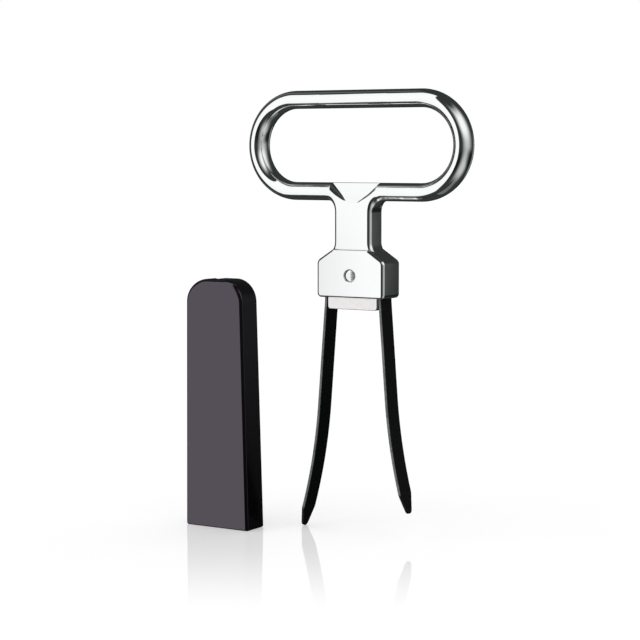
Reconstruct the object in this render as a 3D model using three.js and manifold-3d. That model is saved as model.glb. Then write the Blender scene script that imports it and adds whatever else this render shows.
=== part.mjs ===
// Two-prong cork puller with its push-on sheath standing beside it. Millimetres, +Z up, front towards -Y.
// The origin is on the floor, in the middle of the ground that the puller and its sheath cover.
import * as THREE from 'three';
import { mergeVertices } from 'three/addons/utils/BufferGeometryUtils.js';
import Module from 'manifold-3d';

const wasm = await Module();
wasm.setup();

// Prongs: two spring-steel strips, one longer than the other, bent outwards towards their tips
const longReach = 69; // below the head, down to the floor
const shortReach = 62.1;
const prongWidth = 6.5;
const prongThickness = 0.8;
const prongSpread = 18.74; // over the outer faces, where the prongs leave the head
const leanAngle = THREE.MathUtils.degToRad(4.4);
const rootBendRadius = 20;
const flareRadius = 160;
const flareStartShare = 0.46; // of the reach
const flareEndShare = 0.9;
const tipTaper = 5.6;
const tipRadius = 1.6;
const hookLength = 3.2; // of the bent-over top, over its outer bend
const hookBendRadius = 1; // outside of the bend

// Clearances
const gap = 0.3; // between pieces that rest on or pass through each other
const stemClearance = 0.5; // beside the carrier's stem, which rocks in the pocket
const prongClearance = 0.63; // outside each prong, which leans in the pocket as the carrier rocks
const hookClearance = 0.85; // above the prongs' hooks, which rise as the prongs are squeezed

// Head: the hollow lower end of the handle
const headHeight = 14.2;
const headDepth = 10;
const headSideWall = 1.2;
const headSideHeight = 10.7; // up to the sloping shoulders
const headCorner = 1.2;
const shoulderCorner = 1.8;
const shoulderFillet = 0.6; // where the shoulders run into the neck
const headEdge = 1;

// Carrier: the block that hangs in the head and holds both prongs
const carrierDrop = 3.4; // below the head
const ledgeHeight = 1.85; // of the ledges that the hooks rest on, above the head's bottom
const stemWidth = 10;
const stemTop = 9; // above the head's bottom
const carrierCorner = 0.6;
const carrierEdge = 0.25;

// Rivet: the pin that the carrier rocks on
const rivetDiameter = 3;
const rivetHeight = 6.5; // above the head's bottom
const rivetRecess = 0.5; // of the rim of each end, below the face of the head
const rivetDome = 0.15;

// Neck and finger loop
const neckWidth = 12.2;
const neckEdge = 1.2;
const neckFillet = 3.5;
const neckLength = 13.8; // from the head's top to the loop's underside
const shoulderFoot = 0.35; // height of the neck's foot on the shoulders, below the head's top
const loopWidth = 73.6;
const loopHeight = 32;
const barHeight = 5.3; // of the loop's bar, in the plane of the loop
const gripDepth = 7.6; // front to back, of the bar and the neck
const barLandShare = 0.16; // of the bar's height, the flat along its front
const barSideShare = 0.12; // of the bar's depth, the flat along its inside and outside

// Valley: the sloping facet where the two ends of the bar run into the neck, in front and behind
const valleyTopWidth = 16.2;
const valleyTipWidth = 4.2;
const valleyHeight = 5.7;
const valleyDepth = 2.7;

// Sheath: a black shell with its mouth down
const sheathHeight = 73.8;
const mouthWidth = 22.2;
const mouthDepth = 8.8;
const topWidth = 19.7;
const topDepth = 8.3;
const sheathLean = 0.3; // of the left side, which is nearly plumb; the right side has the rest of the taper
const sheathCorner = 6.8;
const sheathEdge = 0.8;
const sheathWall = 0.9;
const sheathRoof = 2.6;
const notchWidth = 3.4;
const notchDepth = 0.55;
const notchOffset = 2.8; // to the left of the top's middle
const sheathLeft = 38.35; // from the puller's axis to the sheath's middle
const sheathFront = 13.05;

// How finely the round shapes are divided
const cornerSteps = 4;
const loopSteps = 20; // in each half-round end of the loop
const flareSteps = 10;
const roundSteps = 24;
const barBevelSteps = 5;
const edgeSteps = 2;
const overrun = 1; // that a cutting shape runs past what it cuts

// Places worked out from the sizes
const headBottom = longReach;
const headTop = headBottom + headHeight;
const loopBottom = headTop + neckLength;
const loopMiddle = loopBottom + loopHeight / 2;
const openingBottom = loopBottom + barHeight;
const pocketWidth = prongSpread + 2 * prongClearance;
const headWidth = pocketWidth + 2 * headSideWall;
const pocketDepth = prongWidth + 3 * gap;
const carrierDepth = pocketDepth - 2 * gap;
const carrierWidth = prongSpread - 2 * (prongThickness + gap);
const hookTop = ledgeHeight + gap + prongThickness;
const stepHeight = hookTop + hookClearance;
const holeDiameter = rivetDiameter + 2 * gap;
const axisX = (sheathLeft + mouthWidth / 2 - loopWidth / 2) / 2;
const axisY = (sheathFront + mouthDepth / 2 - headDepth / 2) / 2;

// A closed outline through corners [across, up, radius], each rounded by an arc of its radius.
function roundedShape(corners) {
  const points = [];
  corners.forEach(([x, y, radius], i) => {
    const corner = new THREE.Vector2(x, y);
    const [beforeX, beforeY] = corners.at(i - 1);
    const [afterX, afterY] = corners[(i + 1) % corners.length];
    if (!radius) {
      points.push(corner);
      return;
    }
    const back = new THREE.Vector2(beforeX, beforeY).sub(corner).normalize();
    const ahead = new THREE.Vector2(afterX, afterY).sub(corner).normalize();
    const halfAngle = Math.acos(back.dot(ahead)) / 2;
    const inwards = back.clone().add(ahead).normalize();
    const middle = corner.clone().addScaledVector(inwards, radius / Math.sin(halfAngle));
    const from = corner.clone().addScaledVector(back, radius / Math.tan(halfAngle));
    const turn = (Math.PI - 2 * halfAngle) * Math.sign(ahead.cross(back));
    for (let k = 0; k <= cornerSteps; k++) {
      points.push(from.clone().rotateAround(middle, (turn * k) / cornerSteps));
    }
  });
  return new THREE.Shape(points);
}

// A plate with the outline's across and up as X and Z, standing across the depth, middle on the XZ plane.
function plate(shape, depth, edge = 0, edgeDepth = edge, steps = edgeSteps) {
  const geometry = new THREE.ExtrudeGeometry(shape, {
    depth: depth - 2 * edgeDepth,
    bevelEnabled: edge > 0,
    bevelSize: edge,
    bevelOffset: -edge,
    bevelThickness: edgeDepth,
    bevelSegments: steps,
    curveSegments: loopSteps,
  });
  geometry.translate(0, 0, edgeDepth - depth / 2);
  return geometry.rotateX(Math.PI / 2);
}

// The same with the outline's across and up as Y and Z, through the width, middle on the YZ plane.
function sidePlate(shape, width) {
  return plate(shape, width).rotateZ(Math.PI / 2);
}

function rectangle(left, bottom, right, top) {
  return roundedShape([[left, bottom, 0], [right, bottom, 0], [right, top, 0], [left, top, 0]]);
}

// A closed geometry as a solid that can be joined and cut.
function solid(geometry) {
  const bare = geometry.clone();
  bare.deleteAttribute('normal');
  bare.deleteAttribute('uv');
  const merged = mergeVertices(bare);
  return new wasm.Manifold(new wasm.Mesh({
    numProp: 3,
    vertProperties: new Float32Array(merged.attributes.position.array),
    triVerts: new Uint32Array(merged.index.array),
  }));
}

// A solid as a named mesh.
function piece(name, body, material) {
  const { vertProperties, triVerts } = body.getMesh();
  const geometry = new THREE.BufferGeometry();
  geometry.setAttribute('position', new THREE.BufferAttribute(vertProperties, 3));
  geometry.setIndex(new THREE.BufferAttribute(triVerts, 1));
  geometry.computeVertexNormals();
  const mesh = new THREE.Mesh(geometry, material);
  mesh.name = name;
  return mesh;
}

// A round bar along the depth at a height on the axis.
function crossBar(diameter, length, height) {
  return new THREE.CylinderGeometry(diameter / 2, diameter / 2, length, roundSteps).translate(0, 0, height);
}

// The loop's bar follows an outline with two half-round ends, and is elliptical in section.
function loopShape(inset) {
  const radius = loopHeight / 2 - inset;
  const reach = loopWidth / 2 - loopHeight / 2;
  const path = new THREE.Shape();
  path.absarc(reach, loopMiddle, radius, -Math.PI / 2, Math.PI / 2);
  path.absarc(-reach, loopMiddle, radius, Math.PI / 2, 1.5 * Math.PI);
  return path;
}

function loopBar() {
  const ring = new THREE.Shape(loopShape(0).getPoints(loopSteps));
  ring.holes.push(new THREE.Path(loopShape(barHeight).getPoints(loopSteps)));
  const edge = (barHeight * (1 - barLandShare)) / 2;
  const edgeDepth = (gripDepth * (1 - barSideShare)) / 2;
  return solid(plate(ring, gripDepth, edge, edgeDepth, barBevelSteps));
}

// The neck widens into the bar's underside through a fillet on each side, and stands on the head.
function neck() {
  const half = neckWidth / 2;
  const foot = headTop - shoulderFoot;
  const root = half + neckFillet + neckEdge;
  const top = loopBottom + barHeight / 2;
  const shape = roundedShape([
    [-half, foot, 0], [half, foot, 0], [half, loopBottom, neckFillet], [root, loopBottom, 0],
    [root, top, 0], [-root, top, 0], [-root, loopBottom, 0], [-half, loopBottom, neckFillet],
  ]);
  return solid(plate(shape, gripDepth, neckEdge));
}

// The head is a five-sided block with sloping shoulders.
function head() {
  const half = headWidth / 2;
  const neckHalf = neckWidth / 2;
  const shoulder = headBottom + headSideHeight;
  const shape = roundedShape([
    [-half, headBottom, headCorner], [half, headBottom, headCorner], [half, shoulder, shoulderCorner],
    [neckHalf, headTop - shoulderFoot, shoulderFillet], [neckHalf, headTop, 0],
    [-neckHalf, headTop, 0], [-neckHalf, headTop - shoulderFoot, shoulderFillet],
    [-half, shoulder, shoulderCorner],
  ]);
  return solid(plate(shape, headDepth, headEdge));
}

// The pocket under the head is wide below, for carrier and prongs, and narrow above, for the carrier's stem.
function pocket() {
  const half = pocketWidth / 2;
  const stemHalf = stemWidth / 2 + stemClearance;
  const top = headBottom + stemTop + 2 * gap;
  const wide = rectangle(-half, headBottom - overrun, half, headBottom + stepHeight);
  const narrow = rectangle(-stemHalf, headBottom, stemHalf, top);
  return solid(plate(wide, pocketDepth)).add(solid(plate(narrow, pocketDepth)));
}

// What the valley takes away in front of its sloping facet: a V between the ends of the bar.
function valley() {
  const tip = openingBottom - valleyHeight;
  const face = gripDepth / 2;
  const out = gripDepth + overrun;
  const rise = overrun / valleyHeight;
  const top = openingBottom + overrun;
  const widen = (valleyTopWidth - valleyTipWidth) / 2;
  const edge = valleyTopWidth / 2 + widen * rise;
  const vee = roundedShape([
    [-valleyTipWidth / 2, tip, 0], [valleyTipWidth / 2, tip, 0], [edge, top, 0], [-edge, top, 0],
  ]);
  const deepest = valleyDepth * (1 + rise) - face;
  const wedge = roundedShape([[-out, tip, 0], [-face, tip, 0], [deepest, top, 0], [-out, top, 0]]);
  return solid(plate(vee, 2 * out)).intersect(solid(sidePlate(wedge, loopWidth / 2)));
}

function handle() {
  const front = valley();
  const back = front.rotate([0, 0, 180]);
  const hole = solid(crossBar(holeDiameter, headDepth + 2 * overrun, headBottom + rivetHeight));
  const casting = loopBar().add(neck()).add(head());
  return casting.subtract(pocket()).subtract(front).subtract(back).subtract(hole);
}

// The carrier is a block with a stem, and a ledge on each side of the stem.
function carrier() {
  const half = carrierWidth / 2;
  const stemHalf = stemWidth / 2;
  const ledge = headBottom + ledgeHeight;
  const bottom = headBottom - carrierDrop;
  const top = headBottom + stemTop;
  const shape = roundedShape([
    [-half, bottom, carrierCorner], [half, bottom, carrierCorner],
    [half, ledge, 0], [stemHalf, ledge, 0], [stemHalf, top, carrierCorner],
    [-stemHalf, top, carrierCorner], [-stemHalf, ledge, 0], [-half, ledge, 0],
  ]);
  const bore = solid(crossBar(holeDiameter, headDepth, headBottom + rivetHeight));
  return solid(plate(shape, carrierDepth, carrierEdge)).subtract(bore);
}

// The rivet's two ends are low domes that lie just below the faces of the head.
function rivet() {
  const radius = rivetDiameter / 2;
  const half = headDepth / 2 - rivetRecess;
  const profile = new THREE.Path();
  profile.absellipse(0, -half, radius, rivetDome, -Math.PI / 2, 0);
  profile.absellipse(0, half, radius, rivetDome, 0, Math.PI / 2);
  const turned = new THREE.LatheGeometry(profile.getPoints(cornerSteps), roundSteps);
  return solid(turned.translate(0, 0, headBottom + rivetHeight));
}

// Walks along runs of [length, turn, steps] and gives the points on both sides of the path.
function strip(start, runs, half) {
  const at = start.clone();
  const sides = [[], []];
  let heading = 0;
  const mark = () => {
    const side = new THREE.Vector2(0, half).rotateAround(new THREE.Vector2(), heading);
    sides[0].push(at.clone().add(side));
    sides[1].push(at.clone().sub(side));
  };
  mark();
  for (const [length, turn, steps] of runs) {
    for (let k = 0; k < steps; k++) {
      const chord = turn ? (Math.sin(turn / steps / 2) * 2 * length) / turn : length / steps;
      at.add(new THREE.Vector2(chord, 0).rotateAround(new THREE.Vector2(), heading + turn / steps / 2));
      heading += turn / steps;
      mark();
    }
  }
  return new THREE.Shape([...sides[0], ...sides[1].reverse()]);
}

// A prong on the right of the axis: hooked over at the top, leaning, flared, and tapered to a round tip.
function prong(reach) {
  const half = prongThickness / 2;
  const bend = hookBendRadius - half;
  const flareLength = (flareEndShare - flareStartShare) * reach;
  const flareAngle = flareLength / flareRadius;
  const down = -Math.PI / 2;
  const start = new THREE.Vector2(prongSpread / 2 - hookLength, headBottom + hookTop - half);
  const runs = [
    [hookLength - hookBendRadius, 0, 1],
    [bend * -down, down, cornerSteps],
    [hookTop - hookBendRadius, 0, 1],
    [rootBendRadius * leanAngle, leanAngle, edgeSteps],
    [flareStartShare * reach - rootBendRadius * leanAngle, 0, 1],
    [flareLength, flareAngle, flareSteps],
    [(1 - flareEndShare) * reach + tipTaper, 0, 1],
  ];
  const tipAt = headBottom - reach;
  const edge = prongWidth / 2;
  const toCentre = tipTaper - tipRadius;
  const slope = Math.atan(edge / toCentre) - Math.asin(tipRadius / Math.hypot(edge, toCentre));
  const nose = new THREE.Shape();
  nose.moveTo(-edge, headTop);
  nose.lineTo(-edge, tipAt + tipTaper);
  nose.absarc(0, tipAt + tipRadius, tipRadius, Math.PI + slope, 2 * Math.PI - slope);
  nose.lineTo(edge, tipAt + tipTaper);
  nose.lineTo(edge, headTop);
  const blade = solid(plate(strip(start, runs, half), prongWidth + 2 * overrun));
  return blade.intersect(solid(sidePlate(new THREE.Shape(nose.getPoints(cornerSteps * 2)), loopWidth)));
}

// The sheath's outline, drawn in by an inset at the sides and a roof at the top, and run past the mouth.
function sheathOutline(inset, roof, past) {
  const left = -mouthWidth / 2 + inset;
  const right = mouthWidth / 2 - inset;
  const topLeft = left + sheathLean;
  const topRight = topLeft + topWidth - 2 * inset;
  const corner = sheathCorner - inset;
  const top = sheathHeight - roof;
  return roundedShape([
    [left, -past, 0], [right, -past, 0], [right, 0, 0],
    [topRight, top, corner], [topLeft, top, corner], [left, 0, 0],
  ]);
}

// A geometry whose depth shrinks with its height, as the sheath's does.
function tapered(geometry) {
  const { position } = geometry.attributes;
  for (let i = 0; i < position.count; i++) {
    const share = 1 - ((1 - topDepth / mouthDepth) * Math.max(position.getZ(i), 0)) / sheathHeight;
    position.setY(i, position.getY(i) * share);
  }
  return geometry;
}

// The sheath is cut square at the mouth, hollowed, and has a shallow notch behind in its top.
function sheath() {
  const shell = solid(tapered(plate(sheathOutline(0, 0, 2 * sheathEdge), mouthDepth, sheathEdge)));
  const standing = rectangle(-mouthWidth, 0, mouthWidth, sheathHeight + overrun);
  const inside = sheathOutline(sheathWall, sheathRoof, overrun);
  const cavity = solid(tapered(plate(inside, mouthDepth - 2 * sheathWall)));
  const notchMiddle = sheathLean + (topWidth - mouthWidth) / 2 - notchOffset;
  const notchLeft = notchMiddle - notchWidth / 2;
  const notch = rectangle(
    notchLeft, sheathHeight - notchDepth, notchLeft + notchWidth, sheathHeight + overrun,
  );
  const cut = solid(plate(notch, topDepth).translate(0, topDepth / 2, 0));
  return shell.intersect(solid(plate(standing, mouthDepth))).subtract(cavity).subtract(cut);
}

const chrome = new THREE.MeshStandardMaterial({ color: 0xe4e6e8, roughness: 0.06, metalness: 1 });
const satinSteel = new THREE.MeshStandardMaterial({ color: 0xd9d6d4, roughness: 0.35, metalness: 1 });
const rivetSteel = new THREE.MeshStandardMaterial({ color: 0xc9cbcd, roughness: 0.18, metalness: 1 });
const blackCoat = new THREE.MeshStandardMaterial({ color: 0x0b0b0c, roughness: 0.38, metalness: 0.1 });
const shortBlackCoat = blackCoat.clone();
const blackPlastic = new THREE.MeshStandardMaterial({ color: 0x151316, roughness: 0.32, metalness: 0 });

const puller = new THREE.Group();
puller.position.set(axisX, axisY, 0);
const shortProng = piece('short_prong', prong(shortReach), shortBlackCoat);
const longProng = piece('long_prong', prong(longReach), blackCoat);
longProng.rotation.z = Math.PI;
puller.add(
  piece('handle', handle(), chrome),
  piece('prong_carrier', carrier(), satinSteel),
  piece('carrier_rivet', rivet(), rivetSteel),
  longProng,
  shortProng,
);

const sheathMesh = piece('sheath', sheath(), blackPlastic);
sheathMesh.position.set(axisX - sheathLeft, axisY - sheathFront, 0);

const corkPuller = new THREE.Group();
corkPuller.add(puller, sheathMesh);
export default corkPuller;
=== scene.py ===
# %% [markdown]
# # A two-prong cork puller and its sheath
# The tool is a chromed casting: a finger loop, a short flat neck and a hollow head.
# A small steel block rocks in the head on a rivet and holds two black spring-steel prongs.
# A black plastic sheath stands beside it on its open end.
# The solids are already there with their real sizes, as a fixed frame. This lesson dresses
# them: every piece is made again as a finer surface in the same place, then given its finish.
#
# The first cell loads the frame and puts every solid in world coordinates, without parents.

# %% Load the frame
import math

import bmesh
import bpy
import numpy as np
from mathutils import Matrix, Vector


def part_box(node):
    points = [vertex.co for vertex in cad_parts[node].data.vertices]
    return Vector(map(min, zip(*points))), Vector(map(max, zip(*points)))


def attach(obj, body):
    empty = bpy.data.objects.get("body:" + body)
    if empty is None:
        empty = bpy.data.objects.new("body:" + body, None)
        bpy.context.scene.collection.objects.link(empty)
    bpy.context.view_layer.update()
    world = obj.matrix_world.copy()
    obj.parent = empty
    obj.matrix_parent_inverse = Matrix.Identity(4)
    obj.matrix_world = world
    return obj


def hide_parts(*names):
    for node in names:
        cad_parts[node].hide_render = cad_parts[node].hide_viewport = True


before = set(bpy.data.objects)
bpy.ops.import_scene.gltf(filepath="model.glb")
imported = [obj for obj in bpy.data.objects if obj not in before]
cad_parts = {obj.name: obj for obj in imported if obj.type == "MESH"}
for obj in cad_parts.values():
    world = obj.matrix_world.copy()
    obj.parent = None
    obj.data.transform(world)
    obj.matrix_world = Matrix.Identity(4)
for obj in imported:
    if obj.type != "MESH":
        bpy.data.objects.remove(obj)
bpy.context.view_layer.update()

# %% [markdown]
# ## Units and the puller's own axis
# Everything below is written in millimetres about the puller's upright axis, because that is how
# such a tool is dimensioned: left and right of the axis, before and behind it, up from the floor.
# The mesh is made in metres at the very end, when the axis is put where the handle's solid is.

# %% The axis of the puller and of the sheath
MM = 0.001


def middle(node):
    """Middle of a solid's box on the floor, in millimetres."""
    low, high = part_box(node)
    return np.array([(low.x + high.x) / 2, (low.y + high.y) / 2, 0]) / MM


puller_axis = middle("handle")
sheath_axis = middle("sheath")
print("puller axis", puller_axis.round(3), "sheath axis", sheath_axis.round(3))

# %% [markdown]
# ## From rows of points to a closed skin
# A surface can be drawn with a subdivision cage, or worked out as rows of points. Rows of points
# were chosen because chrome shows every dent: each point then lies exactly on the wanted curve.
# `skin` joins each point of a grid to its neighbours. `weld` puts several grids together, merges
# the points where they meet, closes what is still open with flat faces and turns the faces out.

# %% Grids and welding
SAME_POINT, SLIVER = 0.002, 0.001  # closer points are merged, shorter edges are dissolved


def skin(points, ring=False):
    """Points (rows, columns, 3) and their quads: point (i, j) with (i, j+1), (i+1, j+1), (i+1, j).
    With ring, the last column is joined to the first."""
    rows, columns = points.shape[:2]
    i = np.arange(rows - 1)[:, None] * columns
    j = np.arange(columns if ring else columns - 1)[None, :]
    k = (j + 1) % columns
    quads = np.stack([i + j, i + k, i + columns + k, i + columns + j], axis=-1)
    return points.reshape(-1, 3), quads.reshape(-1, 4)


def weld(name, skins, place=(0, 0, 0)):
    """One closed mesh object from skins in millimetres, shifted to its place, in metres."""
    counts = np.cumsum([0] + [len(points) for points, _ in skins])
    points = np.concatenate([points for points, _ in skins]) + np.asarray(place)
    quads = np.concatenate([quads + start for (_, quads), start in zip(skins, counts)])
    mesh = bpy.data.meshes.new(name)
    mesh.from_pydata((points * MM).tolist(), [], quads.tolist())
    work = bmesh.new()
    work.from_mesh(mesh)
    bmesh.ops.remove_doubles(work, verts=work.verts, dist=SAME_POINT * MM)
    bmesh.ops.dissolve_degenerate(work, edges=work.edges, dist=SLIVER * MM)
    bmesh.ops.holes_fill(work, edges=[e for e in work.edges if e.is_boundary], sides=0)
    bmesh.ops.recalc_face_normals(work, faces=work.faces)
    work.to_mesh(mesh)
    work.free()
    piece = bpy.data.objects.new(name, mesh)
    bpy.context.scene.collection.objects.link(piece)
    return piece


# %% Joining, cutting and shading
def join_and_cut(piece, joins=(), cuts=()):
    """Adds and takes away closed shapes with exact Boolean modifiers, then keeps the result."""
    for operation, tools in (("UNION", joins), ("DIFFERENCE", cuts)):
        for tool in tools:
            step = piece.modifiers.new(operation.lower(), "BOOLEAN")
            step.operation = operation
            step.solver = "EXACT"
            step.object = tool
    seen = piece.evaluated_get(bpy.context.evaluated_depsgraph_get())
    mesh = bpy.data.meshes.new_from_object(seen)
    piece.modifiers.clear()
    piece.data = mesh
    for tool in (*joins, *cuts):
        bpy.data.objects.remove(tool)


def smooth(piece, crease=32):
    """Smooth shading up to a crease angle in degrees; large flat faces keep their own direction."""
    mesh = piece.data
    mesh.polygons.foreach_set("use_smooth", np.ones(len(mesh.polygons), bool))
    mesh.set_sharp_from_angle(angle=math.radians(crease))
    flats = piece.modifiers.new("flat faces lead", "WEIGHTED_NORMAL")
    flats.weight = 100
    flats.keep_sharp = True
    print(piece.name, "has", len(mesh.vertices), "points and", len(mesh.polygons), "faces")
    return piece


# %% [markdown]
# ## Round-cornered outlines and plates with rounded edges
# The head, the steel block and the sheath all start as an outline with round corners. Keeping the
# outward direction of every outline point makes it easy to draw the outline in by any amount, so
# a plate's rounded edge is the outline carried along a quarter circle, front and back.

# %% Outlines
def outline(corners, steps=10):
    """Points and outward directions of a closed outline, walked anticlockwise. Each corner
    (x, z, r) becomes an arc: centre + r (cos a, sin a), between the two sides it touches."""
    corners = np.asarray(corners, float)
    points, outwards = [], []
    for before, here, after in zip(np.roll(corners, 1, 0), corners, np.roll(corners, -1, 0)):
        arrive = here[:2] - before[:2]
        arrive /= np.linalg.norm(arrive)
        leave = after[:2] - here[:2]
        leave /= np.linalg.norm(leave)
        cross = arrive[0] * leave[1] - arrive[1] * leave[0]
        turn = math.atan2(cross, arrive @ leave)
        side = np.sign(turn)
        right = np.array([arrive[1], -arrive[0]])
        start = here[:2] - arrive * here[2] * math.tan(abs(turn) / 2)
        centre = start - side * here[2] * right
        a = np.linspace(0, turn, steps + 1)[:, None]
        out = np.cos(a) * right + np.sin(a) * np.array([-right[1], right[0]])
        points.append(centre + side * here[2] * out)
        outwards.append(out)
    return np.concatenate(points), np.concatenate(outwards)


def both_sides(right):
    """Corners (x, z, r) of a right half, from the bottom up, together with their mirror images."""
    left = [(-x, z, r) for x, z, r in reversed(right)]
    return left[-1:] + right + left[:-1]


def carried(points, outwards, inset, depth):
    """A row for every outline point: (x, z) = point - inset * outwards, and y = depth."""
    inset, depth = np.broadcast_arrays(inset, depth)
    x, z = (points[:, k:k + 1] - inset * outwards[:, k:k + 1] for k in (0, 1))
    return np.stack([x, np.broadcast_to(depth, x.shape), z], axis=-1)


# %% Plates and blocks
def there_and_back(across, depth):
    """A profile from the front inwards, and its mirror image on to the back."""
    return np.concatenate([across, across[::-1]]), np.concatenate([depth, -depth[::-1]])


def edge_curve(depth, edge, steps=8):
    """How far in and how deep a plate's edge lies, from its front face round to its back face:
    a quarter circle of the edge's radius, a straight wall, and a quarter circle again."""
    a = np.linspace(0, math.pi / 2, steps + 1)
    return there_and_back(edge * (1 - np.sin(a)), edge * (1 - np.cos(a)) - depth / 2)


def carried_ring(points, outwards, inset, depth):
    """The skin through a closed outline at every inset and depth."""
    return skin(carried(points, outwards, inset, depth).swapaxes(0, 1), ring=True)


def plate(corners, depth, edge, steps=10):
    """The outline drawn in by the edge curve's inset, at the edge curve's depth."""
    return carried_ring(*outline(corners, steps), *edge_curve(depth, edge))


def block(corners, half_depth):
    """A straight-sided plate, for cutting."""
    return carried_ring(*outline(corners, steps=6), 0, (-half_depth, half_depth))


# %% [markdown]
# ## Loop and neck
# On the real handle the bar of the loop is oval, and where it meets the neck the oval flows into
# the neck's flat side without a seam. Two separate shapes pushed into each other would show a
# hard line there, and chrome would draw it sharply. So one skin is carried along the whole outer
# outline: over the loop, round the fillet and down the neck. On the way its section changes from
# a half oval to a flat side with rounded edges. A second skin lines the inside of the loop, and
# flat strips and rows close the front and the back.

# %% Sizes of the loop and the neck
LOOP_MIDDLE, LOOP_REACH, LOOP_RADIUS = 113.0, 20.8, 16.0
BAR, GRIP = 5.3, 3.8  # height of the bar, and half its depth
OVAL = 2.5  # how far the oval reaches in from the outline
NECK, NECK_EDGE = 6.1, 1.2  # half the neck's width, and the radius along its edges
FILLET = 3.5
FOOT, FOOT_RADIUS, FOOT_TURN = 85.15, 4.0, 57  # where the neck spreads out into the head
FOOT_END = (0.5, -2.0)  # a last step, which ends inside the head
LOOP_BOTTOM = LOOP_MIDDLE - LOOP_RADIUS
OPENING_BOTTOM = LOOP_BOTTOM + BAR

SECTION_STEPS, FLAT_SHARE = 49, 0.35  # points round the half section, and the flat side's share
END_STEPS, FILLET_STEPS, FOOT_STEPS = 97, 25, 9
TOP_STEPS, SIDE_STEPS, MIDDLE_STEPS = 12, 8, 13
LEFTWARDS = np.array([-1, 1, 1])  # makes the mirror image on the left


def arc(centre, radius, start, stop, count):
    """Points on a circle between two angles in degrees, and the directions from its centre."""
    a = np.radians(np.linspace(start, stop, count))
    out = np.stack([np.cos(a), np.sin(a)], axis=1)
    return np.asarray(centre) + radius * out, out


def straight(start, stop, count, out):
    """Points on a line, which all look the same way out."""
    return np.linspace(start, stop, count), np.tile(np.asarray(out, float), (count, 1))


# %% Outline and section of the loop and the neck
def right_outline():
    """Right half of the outer outline from the loop's top to the neck's foot: its points, their
    outward directions, how many of them are on the loop, and the neck's share m at each, which
    grows as a smooth step 3 f^2 - 2 f^3 with the way f round the fillet."""
    top, below = LOOP_MIDDLE + LOOP_RADIUS, LOOP_BOTTOM - FILLET
    rim = [straight((0, top), (LOOP_REACH, top), TOP_STEPS, (0, 1)),
           arc((LOOP_REACH, LOOP_MIDDLE), LOOP_RADIUS, 90, -90, END_STEPS),
           straight((LOOP_REACH, LOOP_BOTTOM), (NECK + FILLET, LOOP_BOTTOM), SIDE_STEPS, (0, -1))]
    fillet, inwards = arc((NECK + FILLET, below), FILLET, 90, 180, FILLET_STEPS)
    foot, foot_in = arc((NECK + FOOT_RADIUS, FOOT), FOOT_RADIUS, 180, 180 + FOOT_TURN, FOOT_STEPS)
    side = [(fillet, -inwards), straight((NECK, below), (NECK, FOOT), SIDE_STEPS, (1, 0)),
            (foot, -foot_in), (foot[-1:] + FOOT_END, np.array([[1.0, 0.0]]))]
    on_loop = sum(len(points) for points, _ in rim)
    points = np.concatenate([points for points, _ in rim + side])
    outwards = np.concatenate([outs for _, outs in rim + side])
    f = np.clip((np.arange(len(points)) - on_loop) / (FILLET_STEPS - 1), 0, 1)
    return points, outwards, on_loop, (f * f * (3 - 2 * f))[:, None]


def half_section():
    """(inset, depth) of the half oval, (OVAL (1 - cos t), -GRIP sin t), and of the neck's side:
    flat over the first share of t to each side of the middle, then a quarter circle."""
    t = np.linspace(-math.pi / 2, math.pi / 2, SECTION_STEPS)
    turned = np.abs(t) / (math.pi / 2)
    rise = np.clip(turned / FLAT_SHARE, 0, 1) * (GRIP - NECK_EDGE)
    lift = np.clip((turned - FLAT_SHARE) / (1 - FLAT_SHARE), 0, 1) * math.pi / 2
    oval = np.stack([OVAL * (1 - np.cos(t)), -GRIP * np.sin(t)])
    flat = np.stack([NECK_EDGE * (1 - np.cos(lift)), -np.sign(t) * (rise + NECK_EDGE * np.sin(lift))])
    return oval, flat


# %% Loop and neck in one skin
def loop_and_neck():
    """Outer skin: the section (1 - m) oval + m flat carried along the outline. Inner skin: the oval
    turned round and set in by the bar's height. Between them lie flat strips along the loop, and
    rows from the neck's edge to the middle. The left half is the mirror image."""
    points, outwards, on_loop, m = right_outline()
    oval, flat = half_section()
    inset, depth = ((1 - m) * oval[k] + m * flat[k] for k in (0, 1))
    outer = carried(points, outwards, inset, depth)

    under, down = straight((NECK + FILLET, LOOP_BOTTOM), (0, LOOP_BOTTOM), MIDDLE_STEPS, (0, -1))
    along = np.concatenate([points[:on_loop], under[1:]])
    facing = np.concatenate([outwards[:on_loop], down[1:]])
    inner = carried(along, facing, BAR - oval[0], oval[1])

    skins = [skin(outer), skin(inner)]
    share = np.linspace(1, 0, MIDDLE_STEPS)
    to_middle = np.stack([share, np.ones_like(share), np.ones_like(share)], axis=-1)
    for column in (0, -1):
        skins.append(skin(np.stack([outer[:on_loop, column], inner[:on_loop, column]], axis=1)))
        rows = outer[on_loop - 1:, column][:, None] * to_middle
        skins.append(skin(np.concatenate([inner[None, on_loop - 1:, column], rows])))
    return skins + [(points * LEFTWARDS, quads) for points, quads in skins]


handle = weld("chrome_handle", loop_and_neck())
print("loop and neck:", len(handle.data.vertices), "points")

# %% [markdown]
# ## Head, valley, pocket and rivet hole
# The head is a plate with sloping shoulders and rounded edges, deeper than the neck, so that the
# neck ends on it with a small step. Between the two ends of the bar, in front and behind, a valley
# slopes in under the opening. Its sides are the ends of the bar: steep walls with a rounded upper
# edge, which run out to nothing at the neck. These shapes meet in real edges, so they are joined
# and cut with Booleans rather than drawn as one skin.

# %% Sizes of the head and the valley
HEAD, HEAD_BOTTOM = 11.2, 69.0  # half its width, and the height of its lower face
HEAD_DEPTH, HEAD_EDGE = 10.0, 1.0
# Right half of its outline: x, z and radius of each corner.
head_corners = both_sides([(HEAD, HEAD_BOTTOM, 1.2), (HEAD, 79.7, 1.8), (NECK - 0.32, 83.2, 1.2)])

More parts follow.
